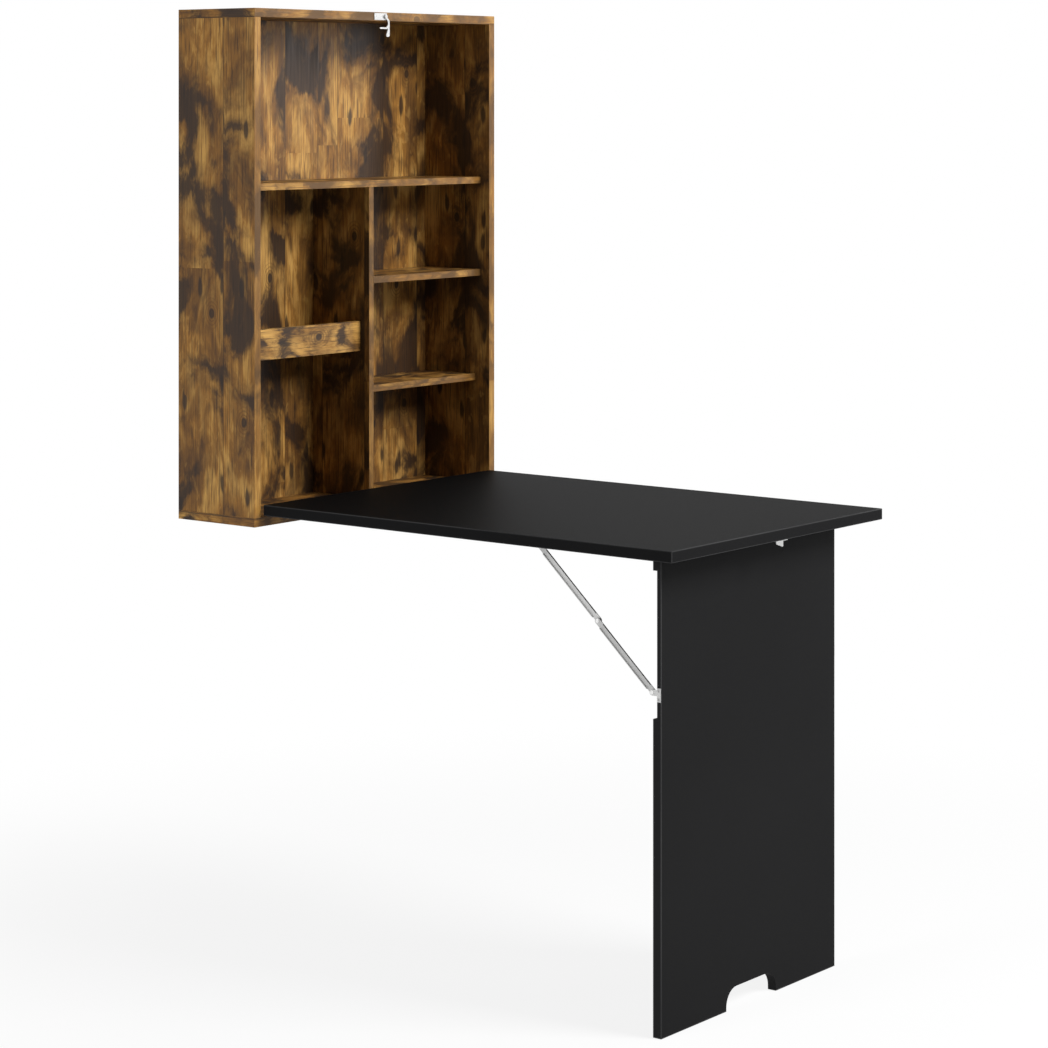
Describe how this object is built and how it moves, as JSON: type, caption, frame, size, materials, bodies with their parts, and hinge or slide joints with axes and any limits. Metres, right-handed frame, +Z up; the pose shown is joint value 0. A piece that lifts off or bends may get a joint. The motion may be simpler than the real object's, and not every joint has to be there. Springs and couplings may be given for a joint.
{
  "type": "fold down wall desk",
  "caption": "Shallow wall cabinet with open shelves and a desktop that folds down from its front, held level by a hinged leg panel on two folding stays, and shut by a swinging hook.",
  "frame": {"origin": "middle of the wall strip's row of four screw holes, on the wall's surface", "axes": "+Z up, +X to the right as one faces the desk, +Y into the wall"},
  "size_m": [0.64, 1.002, 1.574],
  "materials": {
    "brown_board": "rustic brown melamine on chipboard, matt, with a fine grain",
    "brown_back": "the same rustic brown melamine on a thin panel",
    "black_board": "matt black melamine on chipboard",
    "rail_board": "plain planed softwood rail",
    "dowel_wood": "fluted beech dowel",
    "screw_steel": "zinc-plated steel screw",
    "cam_alloy": "cast zinc alloy",
    "hinge_steel": "zinc-plated pressed steel",
    "zinc_steel": "bright zinc-plated pressed steel"
  },
  "bodies": {
    "cabinet": {"left_side": "brown_board", "right_side": "brown_board", "top_board": "brown_board", "bottom_board": "brown_board", "back_panel": "brown_back", "upper_shelf": "brown_board", "divider": "brown_board", "right_upper_shelf": "brown_board", "right_lower_shelf": "brown_board", "left_shelf": "brown_board", "retaining_rail": "brown_board", "hanging_rail": "rail_board", "wall_strip": "rail_board", "spacer_rail": "rail_board", "carcass_screws": "screw_steel", "shelf_dowels": "dowel_wood", "shelf_cams": "cam_alloy", "shelf_cam_bolts": "cam_alloy", "desk_hinge_fixed_leaves": "hinge_steel", "desk_hinge_pins": "hinge_steel", "desk_hinge_fixed_screws": "screw_steel", "latch_plate": "zinc_steel", "latch_pivot": "zinc_steel", "latch_screws": "screw_steel"},
    "desktop": {"desktop": "black_board", "desk_hinge_moving_leaves": "hinge_steel", "desk_hinge_moving_screws": "screw_steel", "leg_hinge_fixed_leaves": "hinge_steel", "leg_hinge_pins": "hinge_steel", "leg_hinge_fixed_screws": "screw_steel", "stay_desk_brackets": "zinc_steel", "stay_desk_screws": "screw_steel", "stay_desk_pivots": "zinc_steel", "keeper_plate": "zinc_steel", "keeper_screws": "screw_steel"},
    "leg": {"leg_panel": "black_board", "leg_hinge_moving_leaves": "hinge_steel", "leg_hinge_moving_screws": "screw_steel", "stay_leg_brackets": "zinc_steel", "stay_leg_screws": "screw_steel", "stay_leg_pivots": "zinc_steel"},
    "left_upper_link": {"left_upper_link": "zinc_steel", "left_upper_rivet": "zinc_steel"},
    "right_upper_link": {"right_upper_link": "zinc_steel", "right_upper_rivet": "zinc_steel"},
    "left_lower_link": {"left_lower_link": "zinc_steel", "left_lower_rivet": "zinc_steel"},
    "right_lower_link": {"right_lower_link": "zinc_steel", "right_lower_rivet": "zinc_steel"},
    "latch_hook": {"latch_hook": "zinc_steel"}
  },
  "joints": [
    {"name": "desk_fold", "type": "hinge", "parent": "cabinet", "child": "desktop", "pos_m": [0, -0.176, -0.7458], "axis": [-1, 0, 0], "range_deg": [0, 90]},
    {"name": "leg_fold", "type": "hinge", "parent": "desktop", "child": "leg", "pos_m": [0, -0.924, -0.7498], "axis": [1, 0, 0], "range_deg": [0, 90]},
    {"name": "left_upper_stay", "type": "hinge", "parent": "desktop", "child": "left_upper_link", "pos_m": [-0.24, -0.71, -0.75355], "axis": [-1, 0, 0], "range_deg": [0, 42.61]},
    {"name": "right_upper_stay", "type": "hinge", "parent": "desktop", "child": "right_upper_link", "pos_m": [0.24, -0.71, -0.75355], "axis": [-1, 0, 0], "range_deg": [0, 42.61]},
    {"name": "left_lower_stay", "type": "hinge", "parent": "leg", "child": "left_lower_link", "pos_m": [-0.244, -0.92775, -0.9538], "axis": [1, 0, 0], "range_deg": [0, 47.4]},
    {"name": "right_lower_stay", "type": "hinge", "parent": "leg", "child": "right_lower_link", "pos_m": [0.244, -0.92775, -0.9538], "axis": [1, 0, 0], "range_deg": [0, 47.4]},
    {"name": "latch_swing", "type": "hinge", "parent": "cabinet", "child": "latch_hook", "pos_m": [0.012, -0.17725, 0.0897], "axis": [0, -1, 0], "range_deg": [-18, 115]}
  ],
  "couplings": [
    {"joint": "left_upper_stay", "follows": "leg_fold", "ratio": 0.4734},
    {"joint": "right_upper_stay", "follows": "leg_fold", "ratio": 0.4734},
    {"joint": "left_lower_stay", "follows": "leg_fold", "ratio": 0.5266},
    {"joint": "right_lower_stay", "follows": "leg_fold", "ratio": 0.5266}
  ]
}
